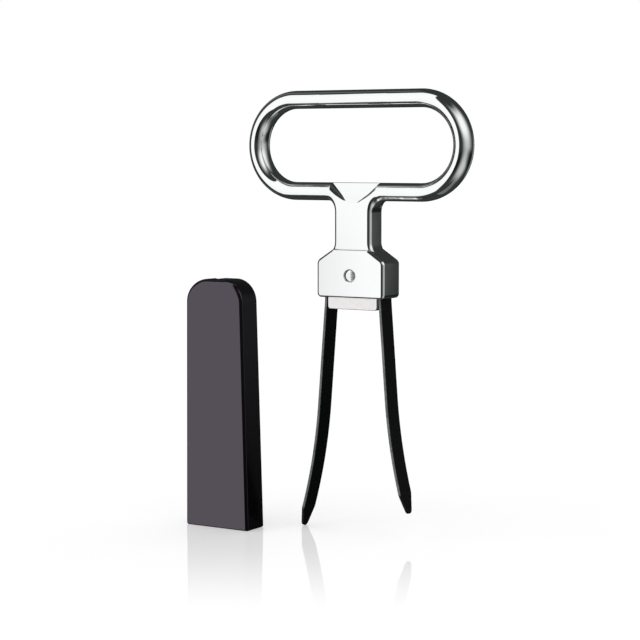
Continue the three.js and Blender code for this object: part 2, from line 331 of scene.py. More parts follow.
TIP, VALLEY_RISE, TIP_HALF, TOP_HALF = 96.4, 5.9, 1.5, 8.0  # heights and half widths
STEP_IN, STEP_SHARE, SLOPE_IN = 0.8, 0.45, 1.9  # depth of the step, its share, depth of the slope
WALL_ROUND, WALL_GROWTH, WALL_TURN = 1.6, 0.55, 76
BELOW_TIP, ABOVE_BAR, IN_FRONT = 1.0, 1.5, 7.0  # how far the cutter runs past what it cuts
VALLEY_ROWS, WALL_STEPS = 33, 13


# %% Cutter for a valley
def valley():
    """At height z the valley is 2 a wide, a straight function of z, and its depth is a smooth step
    near its tip on top of a straight slope. Its wall is an arc whose radius r grows with the depth,
    so the bar's end is rounder where it is cut deeper: x = a + r (cos f0 - cos f), and y comes
    forward by r (sin f - sin f0)."""
    z = np.linspace(TIP, OPENING_BOTTOM + ABOVE_BAR, VALLEY_ROWS)
    z = np.concatenate([[TIP - BELOW_TIP], z])[:, None]
    q = (z - TIP) / VALLEY_RISE
    t = np.clip(q / STEP_SHARE, 0, 1)
    deep = STEP_IN * t * t * (3 - 2 * t) + SLOPE_IN * q
    a = TIP_HALF + (TOP_HALF - TIP_HALF) * q
    r = WALL_ROUND + WALL_GROWTH * deep
    last = math.radians(WALL_TURN)
    first = np.minimum(np.arcsin(np.clip(1 - deep / r, 0, 1)), last)
    f = first + (last - first) * np.linspace(0, 1, WALL_STEPS)[None]
    wall_x = a + r * (np.cos(first) - np.cos(f))
    wall_y = np.minimum(r, deep) - GRIP - r * (np.sin(f) - np.sin(first))
    out = wall_x[:, -1:] + (wall_y[:, -1:] + IN_FRONT) * math.tan(last)
    x = np.concatenate([a, wall_x, out], axis=1)
    y = np.concatenate([deep - GRIP, wall_y, np.full_like(out, -IN_FRONT)], axis=1)
    right = np.stack([x, y, np.broadcast_to(z, x.shape)], axis=-1)
    return np.concatenate([right, right[:, ::-1] * LEFTWARDS], axis=1)


# %% Round things on the rivet's axis
RIVET_HEIGHT, RIVET, HOLE = 75.5, 1.66, 1.80  # height of the axis, radii of pin and hole
MOUTH_EDGE, SINK, SINK_DEPTH = 2.05, 0.25, 0.45
MOUTH_FROM, MOUTH_TO, MOUTH_STEPS = 15, 65, 8  # the part of a circle that rounds the mouth
LEAD = 0.5  # how far the cutter stands out of the face


def on_rivet_axis(radii, depths, count=64):
    """Profile (r, d) carried round the rivet's axis: (r cos a, d, h + r sin a)."""
    a = np.linspace(0, 2 * math.pi, count, endpoint=False)[None]
    r = np.asarray(radii, float)[:, None]
    d = np.asarray(depths, float)[:, None] + 0 * a
    return skin(np.stack([r * np.cos(a), d, RIVET_HEIGHT + r * np.sin(a)], axis=-1), ring=True)


def sunk_hole():
    """A hole through the head with round-edged mouths: from the face an arc of radius SINK turns
    between two angles, and a wall that is nearly straight leads on to the hole."""
    face = HEAD_DEPTH / 2
    turn = np.radians(np.linspace(MOUTH_FROM, MOUTH_TO, MOUTH_STEPS))
    r = MOUTH_EDGE - SINK * np.sin(turn)
    d = SINK * (1 - np.cos(turn)) - face
    r = np.concatenate([[r[0] + LEAD / math.tan(turn[0])], r, [HOLE]])
    d = np.concatenate([[d[0] - LEAD], d, [SINK_DEPTH - face]])
    return on_rivet_axis(*there_and_back(r, d))


# %% Join the head, cut the valleys, the pocket and the hole
POCKET_DEPTH = 3.7  # half of it
lower_pocket = both_sides([(10.0, 68.0, 0.3), (10.0, 72.8, 0.3)])
upper_pocket = both_sides([(5.5, 70.0, 0.3), (5.5, 78.6, 0.5)])
front_valley = valley()
cutters = {"front valley": skin(front_valley, ring=True),
           "back valley": skin(front_valley * np.array([1, -1, 1]), ring=True),
           "lower pocket": block(lower_pocket, POCKET_DEPTH),
           "upper pocket": block(upper_pocket, POCKET_DEPTH),
           "rivet hole": sunk_hole()}
join_and_cut(handle, joins=[weld("head", [plate(head_corners, HEAD_DEPTH, HEAD_EDGE, steps=14)])],
             cuts=[weld(name, [shape]) for name, shape in cutters.items()])
handle.data.transform(Matrix.Translation(Vector(puller_axis * MM)))
smooth(handle, 30)
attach(handle, "handle_body")
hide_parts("handle")

# %% [markdown]
# ## The rocking block and its rivet
# The block is a small ground piece of steel with hardly broken edges, so it is a plate with a
# very small edge radius. The rivet is a pin whose ends lie a little below the head's faces, each
# with a low dome. It is a profile carried round the pin's axis.

# %% Block
CARRIER, LEDGE, STEM = 8.27, 70.85, 5.0  # half widths of block and stem, and the ledge between
CARRIER_DEPTH, CARRIER_EDGE, BORE = 6.8, 0.25, 1.8

block_corners = both_sides([(CARRIER, 65.6, 0.9), (CARRIER, LEDGE, 0.3), (STEM, LEDGE, 0.3),
                            (STEM, 78.0, 0.6)])
carrier = weld("rocking_block", [plate(block_corners, CARRIER_DEPTH, CARRIER_EDGE)], puller_axis)
bore = weld("bore", [on_rivet_axis([BORE, BORE], [-CARRIER_DEPTH, CARRIER_DEPTH])], puller_axis)
join_and_cut(carrier, cuts=[bore])
smooth(carrier)
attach(carrier, "carrier_body")
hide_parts("prong_carrier")

# %% Rivet
RECESS, DOME, BROKEN_RIM, DOME_STEPS = 0.45, 0.1, 0.12, 15
OFF_SQUARE, OFF_FROM = 10.5, 0.1  # angle in degrees, and where it starts right of the middle


def pin():
    """A pin with broken rims. Each end is a very low dome, and it was struck a little off square:
    to the right of the middle it falls away at a small angle."""
    ball = (RIVET ** 2 + DOME ** 2) / (2 * DOME)
    r = np.linspace(0, RIVET - BROKEN_RIM, DOME_STEPS)
    d = RECESS - HEAD_DEPTH / 2 - DOME + ball - np.sqrt(ball ** 2 - r ** 2)
    r, d = np.append(r, RIVET), np.append(d, d[-1] + BROKEN_RIM)
    points, quads = on_rivet_axis(*there_and_back(r, d))
    fall = np.maximum(points[:, 0] - OFF_FROM, 0) * math.tan(math.radians(OFF_SQUARE))
    points = points - np.sign(points[:, 1:2]) * fall[:, None] * np.array([0, 1, 0])
    return points, quads


rivet = weld("rivet_pin", [pin()], puller_axis)
smooth(rivet, 40)
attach(rivet, "handle_body")
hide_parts("carrier_rivet")

# %% [markdown]
# ## The prongs
# Each prong is a strip of spring steel, 0.8 by 6.5 mm, hooked over in the head, leaning out a
# little, then bent outwards and ground to a narrow round nose. It could be an extruded outline,
# but then its edges would be razor sharp. Here a rounded section is carried along the bent path,
# and the section narrows towards the nose. A number kept at each point says how much of the black
# has been rubbed off there: along the long edges, and not on the ground nose.

# %% Path of a prong
THICK, WIDE = 0.4, 3.25  # half the strip's thickness and width
SPREAD, HOOK_TOP = 9.37, 71.95  # its outer face from the axis, and the top of its hook
HOOK, BEND, DROP = 2.2, 0.6, 1.95  # the hook's straight part, its bend's radius, the way down
LEAN_RADIUS, LEAN_OUT = 20.0, math.radians(4.4)
FLARE_FROM, FLARE_TO, FLARE_RADIUS = 0.46, 0.9, 160.0  # shares of the reach, and a radius
TAPER, NOSE = 5.6, 1.6  # length of the narrowing part, and radius of its end
TAPER_STEPS, NOSE_STEPS = 26, 17


def prong_path(reach):
    """Middle line of a prong: its points, heading at each, and the tip's height. Both are running
    sums over short chords: heading h grows by each turn, place by chord (cos h, sin h)."""
    leaning = LEAN_RADIUS * LEAN_OUT
    flare = (FLARE_TO - FLARE_FROM) * reach
    runs = [(HOOK, 0, 3), (BEND * math.pi / 2, -math.pi / 2, 10), (DROP, 0, 3),
            (leaning, LEAN_OUT, 6), (FLARE_FROM * reach - leaning, 0, 20),
            (flare, flare / FLARE_RADIUS, 40)]  # length, turn and number of chords
    turns = np.concatenate([np.full(k, turn / k) for _, turn, k in runs])
    arcs = np.concatenate([np.full(k, length / k) for length, _, k in runs])
    chords = arcs * np.sinc(turns / 2 / math.pi)
    heading = np.concatenate([[0], np.cumsum(turns)])
    aim = heading[:-1] + turns / 2
    start = np.array([[SPREAD - THICK - BEND - HOOK, HOOK_TOP - THICK]])
    steps = np.stack([chords * np.cos(aim), chords * np.sin(aim)], axis=1)
    path = np.concatenate([start, start + np.cumsum(steps, axis=0)])

    tip = HEAD_BOTTOM - reach + THICK * abs(math.cos(heading[-1]))
    taper = np.linspace(path[-1, 1], tip + NOSE, TAPER_STEPS)
    nose = tip + NOSE * (1 - np.sin(np.linspace(0, math.pi / 2, NOSE_STEPS)))
    z = np.concatenate([taper[1:], nose[1:]])
    x = path[-1, 0] + (z - path[-1, 1]) / math.tan(heading[-1])
    path = np.concatenate([path, np.stack([x, z], axis=1)])
    return path, np.concatenate([heading, np.full(len(z), heading[-1])]), tip


# %% Section and wear of a prong
EDGE_ROUND, CORNER_STEPS = 0.16, 6
RUBBED_EDGE, RUBBED_OVER, NOSE_FADE = 0.12, 0.1, 0.8


def half_width(up):
    """Half the strip's width at a height above the tip: full, a straight taper, and a circle that
    the taper touches."""
    lean = math.atan2(WIDE, TAPER - NOSE) - math.asin(NOSE / math.hypot(WIDE, TAPER - NOSE))
    circle = np.sqrt(np.clip(NOSE ** 2 - (up - NOSE) ** 2, 0, None))
    taper = WIDE - (TAPER - up) * math.tan(lean)
    return np.where(up < NOSE * (1 - math.sin(lean)), circle, np.clip(taper, 0, WIDE))


def mark_rubbed(mesh, tip):
    """Writes 1 at the points along the long edges, falling to 0 over a short way inwards and
    towards the nose."""
    spots = np.empty(len(mesh.vertices) * 3)
    mesh.vertices.foreach_get("co", spots)
    spots = spots.reshape(-1, 3) / MM - puller_axis
    rubbed = np.clip((np.abs(spots[:, 1]) - (WIDE - RUBBED_EDGE)) / RUBBED_OVER, 0, 1)
    rubbed *= np.clip((spots[:, 2] - tip - TAPER + NOSE_FADE / 2) / NOSE_FADE, 0, 1)
    mesh.attributes.new("rubbed", "FLOAT", "POINT").data.foreach_set("value", rubbed)


def prong(name, reach, side):
    """The section is a rectangle with corners of radius r: (c (t - r) + r cos a, c (w - r) + r sin a)
    with c the signs of the corner. Its first number is laid off square to the heading."""
    path, heading, tip = prong_path(reach)
    w = half_width(path[:, 1] - tip)[:, None]
    r = np.minimum(EDGE_ROUND, w)
    a = np.radians([np.linspace(0, 90, CORNER_STEPS) + 90 * k for k in range(4)]).reshape(1, -1)
    corner = np.repeat([[1, 1], [-1, 1], [-1, -1], [1, -1]], CORNER_STEPS, axis=0).T
    across = corner[0] * (THICK - r) + r * np.cos(a)
    y = corner[1] * (w - r) + r * np.sin(a)
    x = path[:, :1] - across * np.sin(heading)[:, None]
    z = path[:, 1:] + across * np.cos(heading)[:, None]
    piece = weld(name, [skin(np.stack([side * x, y, z], axis=-1), ring=True)], puller_axis)
    mark_rubbed(piece.data, tip)
    return smooth(piece, 50)


# %% Both prongs
long_prong = prong("long_black_prong", 69.0, -1)
short_prong = prong("short_black_prong", 62.1, 1)
for piece, node in ((long_prong, "long_prong"), (short_prong, "short_prong")):
    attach(piece, node + "_body")
    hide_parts(node)

# %% [markdown]
# ## The sheath
# The sheath is moulded in one piece and stands on its open mouth. Its section is a rectangle with
# small round edges; going up, both sides lean in, the right one more, the depth shrinks a little,
# and at the top both sides turn over in large round corners until they meet. That is a loft: one
# section for every pair of points at equal steps along the left and the right outline. The same
# loft, drawn in by the wall, makes the inside, and a rounded rim joins the two at the mouth.

# %% Sizes and edges of the sheath
MOUTH, MOUTH_DEEP, TOP_DEEP = 11.1, 4.4, 4.15  # half the mouth's width, half the depths
TALL, TOP_WIDE, LEAN, CORNER, WALL, ROOF = 73.8, 19.7, 0.3, 6.8, 0.9, 2.6
LEFT_EDGE, TOP_EDGE, TOP_REAR_EDGE, REAR_EDGE = 0.9, 1.9, 0.5, 0.6
BEVEL, BEVEL_ANGLE, BROKEN, CREST = 0.95, 21, 0.15, 0.04
RIM, INNER_EDGE, INNER_RIM = 0.6, 0.3, 0.2
TURN_STEPS, PLUMB_STEPS, FACE_STEPS, QUARTER_STEPS = 32, 30, 9, 7
ROOF_SHARE, ROOF_STEPS = 0.8, 5  # how far the sections run on towards the roof's middle


def round_edge(radius):
    """How far a quarter circle lies in from the outline and back from the face."""
    t = np.linspace(0, math.pi / 2, QUARTER_STEPS)
    return radius * (1 - np.sin(t)), radius * (1 - np.cos(t))


def bevelled_edge(width, angle, radius):
    """The same for a bevel, in as many steps: three on a straight slope at a small angle, then a
    quarter circle's last part."""
    slope = math.radians(angle)
    t = np.linspace(slope, math.pi / 2, QUARTER_STEPS - 3)
    inset, back = radius * (1 - np.sin(t)), radius * (1 - np.cos(t))
    start = width - np.array([0, CREST, (width - inset[0]) / 2])
    rise = back[0] - (start - inset[0]) * math.tan(slope)
    return np.append(start, inset), np.append(rise, back) - rise[0]


# %% One side of the loft
def sheath_side(turn, outwards, foot, roof_middle, inset, edges, top_edges):
    """One side from the rim to the middle of the roof, front edge first and then the back one: the
    outline drawn in by the edge's first number, at a depth drawn back by its second. Over the
    round corner the side's edges turn into the top's by a smooth step. The depth is a straight
    function of the height."""
    low = foot + np.linspace(0, 1, PLUMB_STEPS)[:-1, None] * (turn[0] - foot)
    over = turn[-1] + np.linspace(0, ROOF_SHARE, ROOF_STEPS)[1:, None] * (roof_middle - turn[-1])
    line = np.concatenate([low, turn, over])
    n = np.concatenate([np.tile(outwards[0], (len(low), 1)), outwards,
                        np.tile(outwards[-1], (len(over), 1))])
    f = np.linspace(0, 1, len(turn))
    mix = np.concatenate([np.zeros(len(low)), f * f * (3 - 2 * f), np.ones(len(over))])[:, None]
    deep = MOUTH_DEEP - inset + (TOP_DEEP - MOUTH_DEEP) * line[:, 1:] / TALL
    halves = []
    for sign, edge, top_edge in ((-1, edges[0], top_edges[0]), (1, edges[1], top_edges[1])):
        s, back = (edge[k] + mix * (top_edge[k] - edge[k]) for k in (0, 1))
        halves.append(carried(line, n, s, sign * (deep - back)))
    return np.concatenate([halves[0], halves[1][:, ::-1]], axis=1)


# %% The loft and the rim
def sheath_loft(inset, roof, left_edges, right_edges, top_edges, rim):
    """Rows of sections at equal steps along the left and the right outline: front face, right side,
    back, left side. Edges are given as (front, back). A last strip closes the roof."""
    left, right = -MOUTH + inset, MOUTH - inset
    top_left, top_right = left + LEAN, -MOUTH + LEAN + TOP_WIDE - inset
    top = TALL - roof
    points, outs = outline([(right, 0, 0), (top_right, top, CORNER - inset),
                            (top_left, top, CORNER - inset), (left, 0, 0)], TURN_STEPS)
    n = TURN_STEPS + 1
    roof_middle = (points[2 * n - 1] + points[2 * n]) / 2
    going_up, coming_down = slice(n, 2 * n), slice(3 * n - 1, 2 * n - 1, -1)
    right_rows, left_rows = (
        sheath_side(points[part], outs[part], np.array([x, rim]), roof_middle, inset, edges, top_edges)
        for part, x, edges in ((going_up, right, right_edges), (coming_down, left, left_edges)))
    share = np.linspace(0, 1, FACE_STEPS)[None, :, None]
    between = share[:, 1:-1]
    face = left_rows[:, :1] + between * (right_rows[:, :1] - left_rows[:, :1])
    rear = right_rows[:, -1:] + between * (left_rows[:, -1:] - right_rows[:, -1:])
    strip = left_rows[-1][:, None] + share * (right_rows[-1] - left_rows[-1])[:, None]
    return np.concatenate([face, right_rows, rear, left_rows[:, ::-1]], axis=1), strip


def rim_rows(row, radius, inwards):
    """The lowest row turned inwards or outwards by a quarter circle down to the floor."""
    turn = np.linspace(0, math.pi / 2, QUARTER_STEPS)[:, None, None]
    flat = row * np.array([1, 1, 0])
    ring = np.roll(flat, -1, 0) - np.roll(flat, 1, 0)
    out = np.stack([-ring[:, 1], ring[:, 0], 0 * ring[:, 0]], axis=1)
    out /= np.linalg.norm(out, axis=1, keepdims=True)
    out *= np.sign((out * flat).sum(1).mean())
    drop = np.array([0, 0, radius]) * (1 - np.sin(turn))
    return flat - inwards * radius * (1 - np.cos(turn)) * out + drop


# %% Outside, inside and rim in one skin
left_edge, bevel = round_edge(LEFT_EDGE), bevelled_edge(BEVEL, BEVEL_ANGLE, BROKEN)
top_edges = (round_edge(TOP_EDGE), round_edge(TOP_REAR_EDGE))
inner_edges = (round_edge(INNER_EDGE), round_edge(INNER_EDGE))
outside, outer_roof = sheath_loft(0, 0, (left_edge, left_edge), (bevel, round_edge(REAR_EDGE)),
                                  top_edges, RIM)
inside, inner_roof = sheath_loft(WALL, ROOF, inner_edges, inner_edges, inner_edges, INNER_RIM)
outer_rim = rim_rows(outside[0], RIM, 1)
inner_rim = rim_rows(inside[0], INNER_RIM, -1)
floor_rim = np.stack([outer_rim[-1], inner_rim[-1]])
rings = [skin(rows, ring=True) for rows in (outside, outer_rim, floor_rim, inner_rim, inside)]
sheath = weld("black_sheath", rings + [skin(outer_roof), skin(inner_roof)], sheath_axis)
print("sheath:", len(sheath.data.vertices), "points")

# %% The notch behind the top
NOTCH_X, NOTCH_HALF, NOTCH_DEPTH = -3.7, 1.9, 0.9
NOTCH_FRONT, NOTCH_BACK, NOTCH_STEPS = -0.3, 6.0, 60


def trough():
    """A round bar lying front to back, of the radius whose chord is the notch's width and whose
    sagitta is its depth."""
    radius = (NOTCH_HALF ** 2 + NOTCH_DEPTH ** 2) / (2 * NOTCH_DEPTH)
    once_round = 360 - 360 / NOTCH_STEPS
    points, outs = arc((NOTCH_X, TALL + radius - NOTCH_DEPTH), radius, 0, once_round, NOTCH_STEPS)
    return carried_ring(points, outs, 0, (NOTCH_FRONT, NOTCH_BACK))


join_and_cut(sheath, cuts=[weld("trough", [trough()], sheath_axis)])
smooth(sheath, 35)
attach(sheath, "sheath_body")
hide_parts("sheath")

# %% [markdown]
# ## Finishes
# A finish is a small network of nodes. Each one starts from the shader with the plain numbers of
# the material, then noise of the right size varies its colour and roughness and raises a very
# small relief. Patterns are placed by object coordinates, so they stay on the piece.

# %% A helper for networks of nodes
class Network:
    """Adds nodes and joins them, so that a finish reads as a short list of steps."""

    def __init__(self, tree):
        self.nodes, self.links = tree.nodes, tree.links
        self.nodes.clear()

    def put(self, socket, value):
        """Links another node's output to a socket, or writes a plain number or colour there."""
        if isinstance(value, bpy.types.NodeSocket):
            self.links.new(value, socket)
        else:
            socket.default_value = value

    def add(self, kind, inputs=None, **settings):
        node = self.nodes.new(kind)
        for key, value in settings.items():
            setattr(node, key, value)
        for key, value in (inputs or {}).items():
            self.put(node.inputs[key], value)
        return node

    def split(self, where):
        """The x, y and z of a place or a direction."""
        return self.add("ShaderNodeSeparateXYZ", {"Vector": where}).outputs

    def math(self, operation, first, *others, clamp=False):
        """An operation on one value, or on the result so far and each further value."""
        for value in others or (0.0,):
            first = self.add("ShaderNodeMath", {0: first, 1: value}, operation=operation,
                             use_clamp=clamp).outputs[0]
        return first

    def noise(self, where, scale=1.0, detail=3.0, rough=0.5):
        return self.add("ShaderNodeTexNoise", {"Vector": where, "Scale": scale, "Detail": detail,
                                               "Roughness": rough}).outputs["Fac"]

    def stretch(self, where, scale, turn=(0.0, 0.0, 0.0)):
        """Coordinates scaled differently along each axis, for long patterns."""
        return self.add("ShaderNodeMapping", {"Vector": where, "Scale": scale,
                                              "Rotation": turn}).outputs[0]

    def spread(self, value, span, levels=(0.0, 1.0), kind="LINEAR"):
        """Carries a span of the value over to two levels, and stays level outside the span."""
        return self.add("ShaderNodeMapRange", {"Value": value, "From Min": span[0], "From Max": span[1],
                                               "To Min": levels[0], "To Max": levels[1]},
                        interpolation_type=kind).outputs["Result"]

    def rise(self, value, span, levels=(0.0, 1.0)):
        """The same by a smooth step."""
        return self.spread(value, span, levels, kind="SMOOTHSTEP")

    def blend(self, share, a, b):
        """Colour a, turning into colour b as the share goes from 0 to 1."""
        node = self.add("ShaderNodeMix", data_type="RGBA")
        for socket, value in ((node.inputs[0], share), (node.inputs[6], a), (node.inputs[7], b)):
            self.put(socket, value)
        return node.outputs[2]

    def bump(self, height, strength, distance, over=None):
        """Relief of a height pattern, if need be on top of another relief."""
        inputs = {"Height": height, "Strength": strength, "Distance": distance}
        if over is not None:
            inputs["Normal"] = over
        return self.add("ShaderNodeBump", inputs).outputs["Normal"]


# %% The start and the end of every finish
def finish(name, piece):
    """A new material on the piece; returns its network and the object coordinates."""
    material = bpy.data.materials.new(name)
    material.use_nodes = True
    net = Network(material.node_tree)
    piece.data.materials.clear()
    piece.data.materials.append(material)
    return net, net.add("ShaderNodeTexCoord").outputs["Object"]


def shade(net, plain, tint, rough, relief):
    """The shader with the material's plain numbers and its patterns, joined to the output."""
    shader = net.add("ShaderNodeBsdfPrincipled", {**plain, "Base Color": tint, "Roughness": rough,
                                                  "Normal": relief})
    net.add("ShaderNodeOutputMaterial", {"Surface": shader.outputs[0]})


# %% [markdown]
# ### Chrome
# Bright chrome over a hand-polished casting. It is nearly a mirror, but never a perfect one: the
# polishing wheel leaves waves a few millimetres long, which bend the reflections into streaks, and
# faint hazy wipes. The waves are a low bump, the wipes a small change of roughness. The flat faces
# are very slightly crowned, and low on the left the colour is darkened: painted shade.

# %% Chrome finish
METAL = {"Metallic": 1.0}
CHROME_DARK, CHROME_LIGHT = (0.93, 0.94, 0.945, 1), (0.985, 0.985, 0.99, 1)
# Painted shade: a darker chrome colour low on the left, and the spans over which it comes in.
CHROME_PAINTED_SHADE = (0.84, 0.85, 0.855, 1)
PAINTED_SHADE_ACROSS, PAINTED_SHADE_UP = (5.0, -11.2), (96.0, 80.0)  # from not at all to fully
CROWNS = ((1.6, 11.2), (2.9, 5.0))  # across and front to back: bend, and how far it reaches


def crown(net, where):
    """Height of a very slight crown over the flat faces, -(a x^2 + b y^2), in metres."""
    height = 0.0
    for value, place, (bend, reach) in zip(net.split(where), puller_axis, CROWNS):
        off = net.math("ABSOLUTE", net.math("SUBTRACT", value, place * MM))
        off = net.math("MINIMUM", off, reach * MM)
        height = net.math("SUBTRACT", height, net.math("MULTIPLY", off, off, bend))
    return net.bump(height, strength=1.0, distance=1.0)


def painted_shade_low_left(net, where):
    """Mask of the painted shade: 1 low on the left of the handle, falling to 0 towards the right and
    upwards.
    """
    x, _, z = net.split(where)
    return net.math("MULTIPLY", net.spread(x, [(puller_axis[0] + off) * MM for off in PAINTED_SHADE_ACROSS]),
                    net.spread(z, [height * MM for height in PAINTED_SHADE_UP]))


def chrome(piece):
    net, where = finish("polished_chrome", piece)
    waves = net.noise(where, scale=190.0, detail=1.0, rough=0.4)
    wipes = net.noise(net.stretch(where, (260.0, 700.0, 900.0)), detail=4.0, rough=0.6)
    haze = net.noise(where, scale=60.0, detail=2.0)
    rough = net.spread(net.math("MULTIPLY", wipes, haze), (0.1, 0.45), (0.035, 0.085))
    # Painted shade: the colour turns darker low on the left.
    tint = net.blend(painted_shade_low_left(net, where), net.blend(haze, CHROME_DARK, CHROME_LIGHT), CHROME_PAINTED_SHADE)
    relief = net.bump(waves, strength=0.12, distance=0.0004, over=crown(net, where))
    shade(net, METAL, tint, rough, relief)


# %% [markdown]
# ### Ground steel, turned steel
# The block is ground and tumbled: satin, slightly warm, with fine lines along its length. The
# rivet's end is faced on a lathe, which leaves fine rings about its axis.

# %% Steel finishes
GROUND_DARK, GROUND_LIGHT = (0.90, 0.87, 0.865, 1), (0.97, 0.945, 0.94, 1)
TURNED_DARK, TURNED_LIGHT = (0.88, 0.89, 0.90, 1), (0.96, 0.965, 0.97, 1)
RING_RATE = 45000.0  # radians of the sine in a metre, so there is a ring every 0.14 mm


def ground_steel(piece):
    net, where = finish("satin_ground_steel", piece)
    lines = net.noise(net.stretch(where, (400.0, 2500.0, 9000.0)), rough=0.6)
    cloud = net.noise(where, scale=450.0, rough=0.55)
    shade(net, METAL, net.blend(cloud, GROUND_DARK, GROUND_LIGHT),
          net.spread(lines, (0.3, 0.7), (0.28, 0.42)), net.bump(lines, strength=0.15, distance=0.00003))


def turned_steel(piece):
    """The rings are the sine of the distance from the rivet's axis."""
    net, where = finish("faced_rivet_steel", piece)
    low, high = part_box("carrier_rivet")
    centre = (low + high) / 2
    away = net.add("ShaderNodeMapping", {"Vector": where, "Location": (-centre.x, 0.0, -centre.z)})
    x, _, z = net.split(away.outputs[0])
    flat = net.add("ShaderNodeCombineXYZ", {"X": x, "Z": z}).outputs[0]
    radius = net.add("ShaderNodeVectorMath", {0: flat}, operation="LENGTH").outputs["Value"]
    rings = net.math("SINE", net.math("MULTIPLY", radius, RING_RATE))
    cloud = net.noise(where, scale=1500.0, rough=0.55)
    shade(net, METAL, net.blend(cloud, TURNED_DARK, TURNED_LIGHT),
          net.spread(cloud, (0.3, 0.7), (0.14, 0.26)), net.bump(rings, strength=0.2, distance=0.000008))


# %% [markdown]
# ### Blackened spring steel
# The prongs are black all over, but the black is thin. Along the long edges it is rubbed down to
# grey steel in small flecks. The flecks follow the number that each point of the prong carries.

# %% Black prong finish
BLACKENED, BARE = (0.0012, 0.0014, 0.0014, 1), (0.27, 0.285, 0.275, 1)
PATCH_SHARE = 0.5  # how much the larger patches add to the flecks


def black_steel(piece, name):
    net, where = finish(name, piece)
    rub = net.add("ShaderNodeAttribute", attribute_name="rubbed").outputs["Fac"]
    flecks = net.noise(where, scale=1400.0, detail=4.0, rough=0.7)
    patches = net.noise(where, scale=160.0, detail=2.0)
    uneven = net.math("ADD", flecks, net.math("MULTIPLY", patches, PATCH_SHARE))
    worn = net.math("MULTIPLY", rub, net.spread(uneven, (0.55, 0.85), (0.35, 1.0)))
    scuff = net.spread(flecks, (0.66, 0.8), (0.0, 0.12))
    tint = net.blend(net.math("MAXIMUM", worn, scuff, clamp=True), BLACKENED, BARE)
    rough = net.spread(net.math("ADD", flecks, worn), (0.3, 1.4), (0.22, 0.5))
    relief = net.bump(flecks, strength=0.12, distance=0.00004)
    shade(net, {"Metallic": 0.0, "Specular IOR Level": 0.25}, tint, rough, relief)


# %% [markdown]
# ### Moulded plastic
# The sheath is smooth moulded plastic, almost black, with a soft gloss. Its broad front mirrors a
# bright studio wall dimly, which makes it look dark grey with a touch of violet. The mould leaves
# a very fine grain, and handling leaves faint scuffs.

# %% Sheath finish
PLASTIC = {"Specular IOR Level": 1.0, "IOR": 1.56, "Specular Tint": (0.90, 0.80, 0.96, 1)}
PLASTIC_DARK, PLASTIC_LIGHT = (0.0022, 0.0012, 0.0018, 1), (0.0034, 0.0020, 0.0028, 1)
PLASTIC_SCUFFED = (0.012, 0.010, 0.012, 1)
SCUFF_TINT, SCUFF_ROUGH = 0.25, 0.3  # how much a scuff lightens and roughens


def moulded_plastic(piece):
    net, where = finish("black_moulded_plastic", piece)
    grain = net.noise(where, scale=5200.0, detail=2.0, rough=0.6)
    cloud = net.noise(where, scale=55.0)
    upright = net.stretch(where, (2600.0, 2600.0, 240.0), turn=(0.0, 0.12, 0.0))
    scuffs = net.spread(net.noise(upright, rough=0.65), (0.62, 0.78))
    tint = net.blend(cloud, PLASTIC_DARK, PLASTIC_LIGHT)
    tint = net.blend(net.math("MULTIPLY", scuffs, SCUFF_TINT), tint, PLASTIC_SCUFFED)
    rough = net.math("ADD", cloud, net.math("MULTIPLY", scuffs, SCUFF_ROUGH))
    shade(net, PLASTIC, tint, net.spread(rough, (0.2, 1.0), (0.11, 0.2)),
          net.bump(grain, strength=0.06, distance=0.00003))


# %% Put every finish on its piece
chrome(handle)
ground_steel(carrier)
turned_steel(rivet)
black_steel(long_prong, "worn_black_long")
black_steel(short_prong, "worn_black_short")
moulded_plastic(sheath)
for piece in (handle, carrier, rivet, long_prong, short_prong, sheath):
    material = piece.active_material
    print("finish:", material.name, "with", len(material.node_tree.nodes), "nodes")

# %% [markdown]
# ## Floor
# The tool stands on a white floor in a white room. The floor is a mirror only close in front of
# the pieces, and the mirror fades out towards the camera, as a wiped acrylic sheet does. The
# camera sees a floor that glows as well as being lit, so it stays white and the pieces keep a
# soft shadow. Other rays meet the plain white.

# %% White floor with a fading mirror
VIEW = math.radians(31.558)  # bearing of the camera, to the right of the front
WHITE, FLOOR_WHITE = (1, 1, 1, 1), (0.8, 0.8, 0.8, 1)
FLOOR_SIZE, FLOOR_GLOW = 6.0, 0.46
MIRROR_FRONT, MIRROR = (-0.105, -0.010), 0.262  # metres along the view, and strength
MIRROR_BACK = (0.03, 0.06)

corners = np.array([[-1, -1], [1, -1], [1, 1], [-1, 1]]) * FLOOR_SIZE
mesh = bpy.data.meshes.new("floor")
mesh.from_pydata(np.column_stack([corners, np.zeros(4)]).tolist(), [], [[0, 1, 2, 3]])
floor = bpy.data.objects.new("floor", mesh)
bpy.context.scene.collection.objects.link(floor)
net, where = finish("white_acrylic", floor)
x, y, _ = net.split(where)
ahead = net.math("ADD", net.math("MULTIPLY", y, math.cos(VIEW)),
                 net.math("MULTIPLY", x, -math.sin(VIEW)))
mirror = net.math("MULTIPLY", net.rise(ahead, MIRROR_FRONT, (0.0, MIRROR)),
                  net.spread(ahead, MIRROR_BACK, (1.0, 0.0)))
dull = net.add("ShaderNodeBsdfDiffuse", {"Color": FLOOR_WHITE}).outputs[0]
glow = net.add("ShaderNodeEmission", {"Color": WHITE, "Strength": FLOOR_GLOW}).outputs[0]
glowing = net.add("ShaderNodeAddShader", {0: dull, 1: glow}).outputs[0]
to_camera = net.add("ShaderNodeLightPath").outputs["Is Camera Ray"]
seen = net.add("ShaderNodeMixShader", {0: to_camera, 1: dull, 2: glowing}).outputs[0]
gloss = net.add("ShaderNodeBsdfAnisotropic", {"Color": WHITE, "Roughness": 0.0}).outputs[0]
mixed = net.add("ShaderNodeMixShader", {0: mirror, 1: seen, 2: gloss}).outputs[0]
net.add("ShaderNodeOutputMaterial", {"Surface": mixed})
floor.visible_glossy = False
print("floor:", len(net.nodes), "nodes")

